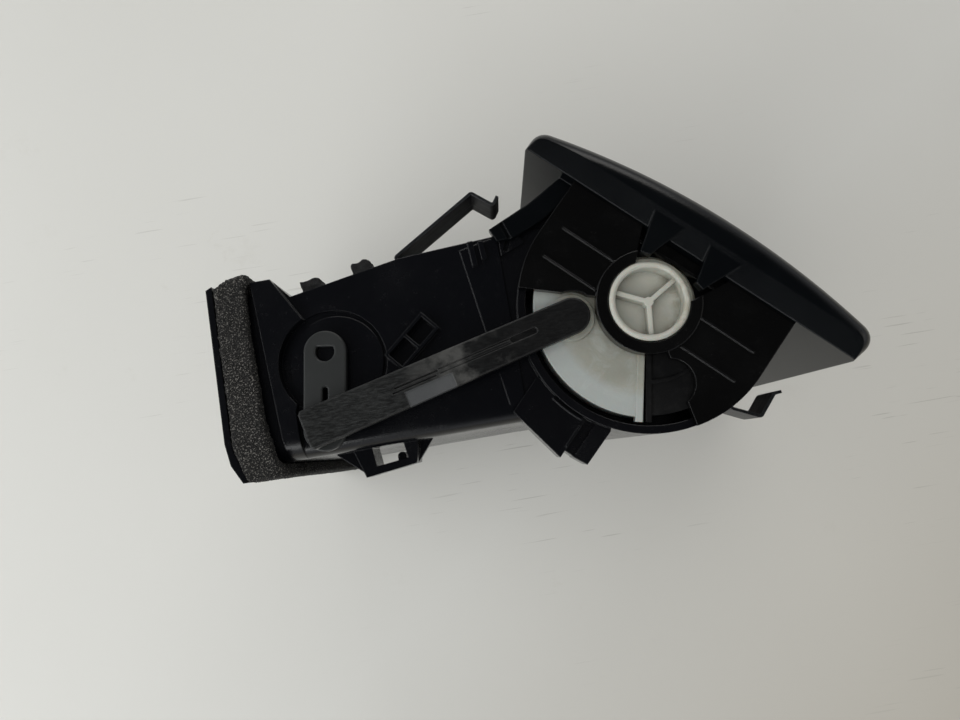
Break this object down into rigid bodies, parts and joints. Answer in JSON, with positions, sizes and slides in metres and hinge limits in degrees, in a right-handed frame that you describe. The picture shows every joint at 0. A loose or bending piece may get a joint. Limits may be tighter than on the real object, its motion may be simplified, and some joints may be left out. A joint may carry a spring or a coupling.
{
  "type": "dashboard air vent",
  "caption": "Dashboard air vent with a foam-sealed duct, shut-off flap, link rod, thumbwheel, angled outlet and swivelling vanes.",
  "frame": {"origin": "centre of the duct's inlet opening, in the plane of its rim", "axes": "+X downstream along the duct, +Z out of the linkage side along the thumbwheel's axis, +Y towards the duct's roof; the outlet faces 45.7 degrees from +X towards +Y"},
  "size_m": [0.1591, 0.0832, 0.115],
  "materials": {
    "duct_plastic": "semi-gloss blue-black moulded plastic",
    "housing_plastic": "semi-gloss black moulded plastic",
    "cover_gloss": "smooth black moulded plastic",
    "bezel_soft_black": "soft-touch matte black",
    "seal_foam": "charcoal open-cell foam tape",
    "felt": "dark felt",
    "spring_steel": "dark phosphated spring steel",
    "pin_steel": "bright steel",
    "wheel_ivory": "milky white acetal, slightly aged",
    "grip_rubber": "black elastomer",
    "rod_plastic": "worn matte black plastic",
    "lever_plastic": "dark grey moulded plastic",
    "seal_rubber": "soft black lip",
    "bush_plastic": "natural acetal",
    "vane_plastic": "satin black moulded plastic"
  },
  "bodies": {
    "casing": {"duct_body": "duct_plastic", "inlet_foam_seal": "seal_foam", "head_housing": "housing_plastic", "side_cover": "cover_gloss", "bezel": "bezel_soft_black", "upper_spring_clip": "spring_steel", "lower_spring_clip": "spring_steel", "clip_rivets": "pin_steel", "rattle_strip_rear": "felt", "rattle_strip_front": "felt", "wheel_spindle": "pin_steel", "flap_bush_near": "bush_plastic", "flap_bush_far": "bush_plastic", "vane_strip_near": "housing_plastic", "vane_strip_far": "housing_plastic", "swing_strip_upper": "housing_plastic", "swing_strip_lower": "housing_plastic"},
    "wheel": {"thumb_wheel": "wheel_ivory", "wheel_grip": "grip_rubber"},
    "rod": {"link_rod": "rod_plastic"},
    "flap": {"flap_lever": "lever_plastic", "flap_shaft": "housing_plastic", "damper_flap": "duct_plastic", "flap_seal": "seal_rubber"},
    "front_tie": {"front_tie_bar": "bush_plastic"},
    "rear_tie": {"rear_tie_bar": "bush_plastic"},
    "knob": {"slider_knob": "vane_plastic", "knob_grip": "grip_rubber"},
    "front_blade_1": {"front_vane_1": "vane_plastic"},
    "front_blade_2": {"front_vane_2": "vane_plastic"},
    "front_blade_3": {"front_vane_3": "vane_plastic"},
    "front_blade_4": {"front_vane_4": "vane_plastic"},
    "front_blade_5": {"front_vane_5": "vane_plastic"},
    "rear_blade_1": {"rear_vane_1": "vane_plastic"},
    "rear_blade_2": {"rear_vane_2": "vane_plastic"},
    "rear_blade_3": {"rear_vane_3": "vane_plastic"},
    "rear_blade_4": {"rear_vane_4": "vane_plastic"},
    "rear_blade_5": {"rear_vane_5": "vane_plastic"},
    "rear_blade_6": {"rear_vane_6": "vane_plastic"},
    "rear_blade_7": {"rear_vane_7": "vane_plastic"}
  },
  "joints": [
    {"name": "wheel_turn", "type": "hinge", "parent": "casing", "child": "wheel", "pos_m": [0.1085, 0.0015, 0.05], "axis": [0, 0, 1], "range_deg": [0, 75]},
    {"name": "rod_swing", "type": "hinge", "parent": "wheel", "child": "rod", "pos_m": [0.0895, 0.00133, 0.055], "axis": [0, 0, 1], "range_deg": [-95, 0]},
    {"name": "flap_turn", "type": "hinge", "parent": "casing", "child": "flap", "pos_m": [0.0277, 0.0036, 0], "axis": [0, 0, 1], "range_deg": [0, 45]},
    {"name": "vane_tilt", "type": "hinge", "parent": "casing", "child": "front_blade_3", "pos_m": [0.11688, 0.01009, -0.0035], "axis": [0, 0, 1], "range_deg": [-30, 30]},
    {"name": "vane_swing", "type": "hinge", "parent": "casing", "child": "rear_blade_4", "pos_m": [0.10187, -0.0053, -0.0035], "axis": [0.7157, -0.6984, 0], "range_deg": [-30, 30]},
    {"name": "front_tie_swing", "type": "hinge", "parent": "front_blade_3", "child": "front_tie", "pos_m": [0.11269, 0.00579, -0.044], "axis": [0, 0, 1], "range_deg": [-30, 30]},
    {"name": "knob_slide", "type": "slide", "parent": "front_blade_3", "child": "knob", "axis": [0, 0, 1], "range_m": [-0.0046, 0.0046]},
    {"name": "rear_tie_swing", "type": "hinge", "parent": "rear_blade_4", "child": "rear_tie", "pos_m": [0.0812, 0.00718, -0.0035], "axis": [0.7157, -0.6984, 0], "range_deg": [-30, 30]},
    {"name": "vane_tilt_1", "type": "hinge", "parent": "casing", "child": "front_blade_1", "pos_m": [0.0997, 0.02685, -0.0035], "axis": [0, 0, 1], "range_deg": [-30, 30]},
    {"name": "vane_tilt_2", "type": "hinge", "parent": "casing", "child": "front_blade_2", "pos_m": [0.10829, 0.01847, -0.0035], "axis": [0, 0, 1], "range_deg": [-30, 30]},
    {"name": "vane_tilt_4", "type": "hinge", "parent": "casing", "child": "front_blade_4", "pos_m": [0.12547, 0.00171, -0.0035], "axis": [0, 0, 1], "range_deg": [-30, 30]},
    {"name": "vane_tilt_5", "type": "hinge", "parent": "casing", "child": "front_blade_5", "pos_m": [0.13406, -0.00667, -0.0035], "axis": [0, 0, 1], "range_deg": [-30, 30]},
    {"name": "vane_swing_1", "type": "hinge", "parent": "casing", "child": "rear_blade_1", "pos_m": [0.10187, -0.0053, -0.0395], "axis": [0.7157, -0.6984, 0], "range_deg": [-30, 30]},
    {"name": "vane_swing_2", "type": "hinge", "parent": "casing", "child": "rear_blade_2", "pos_m": [0.10187, -0.0053, -0.0275], "axis": [0.7157, -0.6984, 0], "range_deg": [-30, 30]},
    {"name": "vane_swing_3", "type": "hinge", "parent": "casing", "child": "rear_blade_3", "pos_m": [0.10187, -0.0053, -0.0155], "axis": [0.7157, -0.6984, 0], "range_deg": [-30, 30]},
    {"name": "vane_swing_5", "type": "hinge", "parent": "casing", "child": "rear_blade_5", "pos_m": [0.10187, -0.0053, 0.0085], "axis": [0.7157, -0.6984, 0], "range_deg": [-30, 30]},
    {"name": "vane_swing_6", "type": "hinge", "parent": "casing", "child": "rear_blade_6", "pos_m": [0.10187, -0.0053, 0.0205], "axis": [0.7157, -0.6984, 0], "range_deg": [-30, 30]},
    {"name": "vane_swing_7", "type": "hinge", "parent": "casing", "child": "rear_blade_7", "pos_m": [0.10187, -0.0053, 0.0325], "axis": [0.7157, -0.6984, 0], "range_deg": [-30, 30]}
  ],
  "couplings": [
    {"joint": "rod_swing", "follows": "wheel_turn", "ratio": -1.264},
    {"joint": "flap_turn", "follows": "wheel_turn", "ratio": 0.6},
    {"joint": "front_tie_swing", "follows": "vane_tilt", "ratio": -1},
    {"joint": "knob_slide", "follows": "vane_swing", "m_per_rad": 0.0086},
    {"joint": "rear_tie_swing", "follows": "vane_swing", "ratio": -1},
    {"joint": "vane_tilt_1", "follows": "vane_tilt", "ratio": 1},
    {"joint": "vane_tilt_2", "follows": "vane_tilt", "ratio": 1},
    {"joint": "vane_tilt_4", "follows": "vane_tilt", "ratio": 1},
    {"joint": "vane_tilt_5", "follows": "vane_tilt", "ratio": 1},
    {"joint": "vane_swing_1", "follows": "vane_swing", "ratio": 1},
    {"joint": "vane_swing_2", "follows": "vane_swing", "ratio": 1},
    {"joint": "vane_swing_3", "follows": "vane_swing", "ratio": 1},
    {"joint": "vane_swing_5", "follows": "vane_swing", "ratio": 1},
    {"joint": "vane_swing_6", "follows": "vane_swing", "ratio": 1},
    {"joint": "vane_swing_7", "follows": "vane_swing", "ratio": 1}
  ]
}
